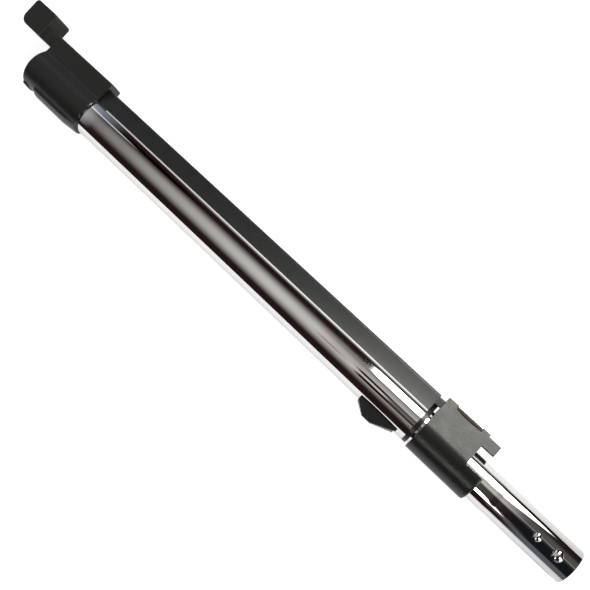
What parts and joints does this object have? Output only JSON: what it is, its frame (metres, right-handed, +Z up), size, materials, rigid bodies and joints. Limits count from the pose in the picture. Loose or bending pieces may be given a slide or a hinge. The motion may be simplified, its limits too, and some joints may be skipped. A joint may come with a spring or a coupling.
{
  "type": "telescopic vacuum wand",
  "caption": "Telescopic vacuum wand: sliding chrome tubes, a moulded nozzle cuff with a foot pedal, a cord channel, a thumb length lock, a plug collar and sprung hose end buttons.",
  "frame": {"origin": "centre of the nozzle cuff's mouth, on the tubes' axis", "axes": "+X along the tubes to the hose end, +Y to the cord channel, +Z up as the wand lies on its side"},
  "size_m": [0.6826, 0.0746, 0.041],
  "materials": {
    "chrome_tube": "bright plated steel",
    "black_plastic": "moulded with a fine grain",
    "channel_plastic": "extruded, smooth satin",
    "bright_metal": "bright plated",
    "spring_steel": "plain spring steel",
    "contact_brass": "plain brass",
    "seal_rubber": "soft lip",
    "guide_plastic": "natural acetal",
    "screw_steel": "zinc plated"
  },
  "bodies": {
    "lower_wand": {"outer_tube": "chrome_tube", "nozzle_cuff": "black_plastic", "cuff_lid": "black_plastic", "lid_screws": "screw_steel", "pedal_spring": "spring_steel", "cord_channel": "channel_plastic", "guide_bush": "black_plastic", "latch_bed": "spring_steel"},
    "upper_wand": {"inner_tube": "chrome_tube", "end_guide": "guide_plastic", "slide_seal": "seal_rubber", "inner_rail": "channel_plastic", "connector_collar": "black_plastic", "collar_cover": "black_plastic", "collar_screws": "screw_steel", "plug_shroud": "black_plastic", "contact_blades": "contact_brass", "button_leaf": "spring_steel", "button_coil": "spring_steel"},
    "thumb_slider": {"thumb_slider": "black_plastic", "roller_spring": "spring_steel"},
    "lock_roller": {"lock_roller": "bright_metal"},
    "release_pedal": {"release_pedal": "black_plastic"},
    "neck_catch": {"neck_catch": "black_plastic", "catch_pin": "bright_metal"},
    "spring_buttons": {"front_button": "bright_metal", "lock_button": "bright_metal"},
    "collar_button": {"collar_button": "bright_metal"}
  },
  "joints": [
    {"name": "wand_extend", "type": "slide", "parent": "lower_wand", "child": "upper_wand", "axis": [1, 0, 0], "range_m": [0, 0.3]},
    {"name": "latch_slide", "type": "slide", "parent": "lower_wand", "child": "thumb_slider", "axis": [1, 0, 0], "range_m": [0, 0.005], "stiffness_N_per_m": 800, "springref_m": -0.002},
    {"name": "roller_lift", "type": "slide", "parent": "lower_wand", "child": "lock_roller", "axis": [0, -1, 0], "range_m": [0, 0.0012], "deforming": ["roller_spring"]},
    {"name": "pedal_press", "type": "slide", "parent": "lower_wand", "child": "release_pedal", "axis": [-1, 0, 0], "range_m": [0, 0.006], "stiffness_N_per_m": 1500, "springref_m": -0.003, "deforming": ["pedal_spring"]},
    {"name": "catch_lift", "type": "slide", "parent": "lower_wand", "child": "neck_catch", "axis": [0, 1, 0], "range_m": [0, 0.003]},
    {"name": "button_press", "type": "slide", "parent": "upper_wand", "child": "spring_buttons", "axis": [0, 0, -1], "range_m": [0, 0.003], "stiffness_N_per_m": 1500, "springref_m": -0.001, "deforming": ["button_leaf"]},
    {"name": "collar_button_press", "type": "slide", "parent": "upper_wand", "child": "collar_button", "axis": [0, -1, 0], "range_m": [0, 0.0025], "stiffness_N_per_m": 1200, "springref_m": -0.002, "deforming": ["button_coil"]}
  ],
  "couplings": [
    {"joint": "roller_lift", "follows": "latch_slide", "ratio": 0.24},
    {"joint": "catch_lift", "follows": "pedal_press", "ratio": 0.5}
  ]
}
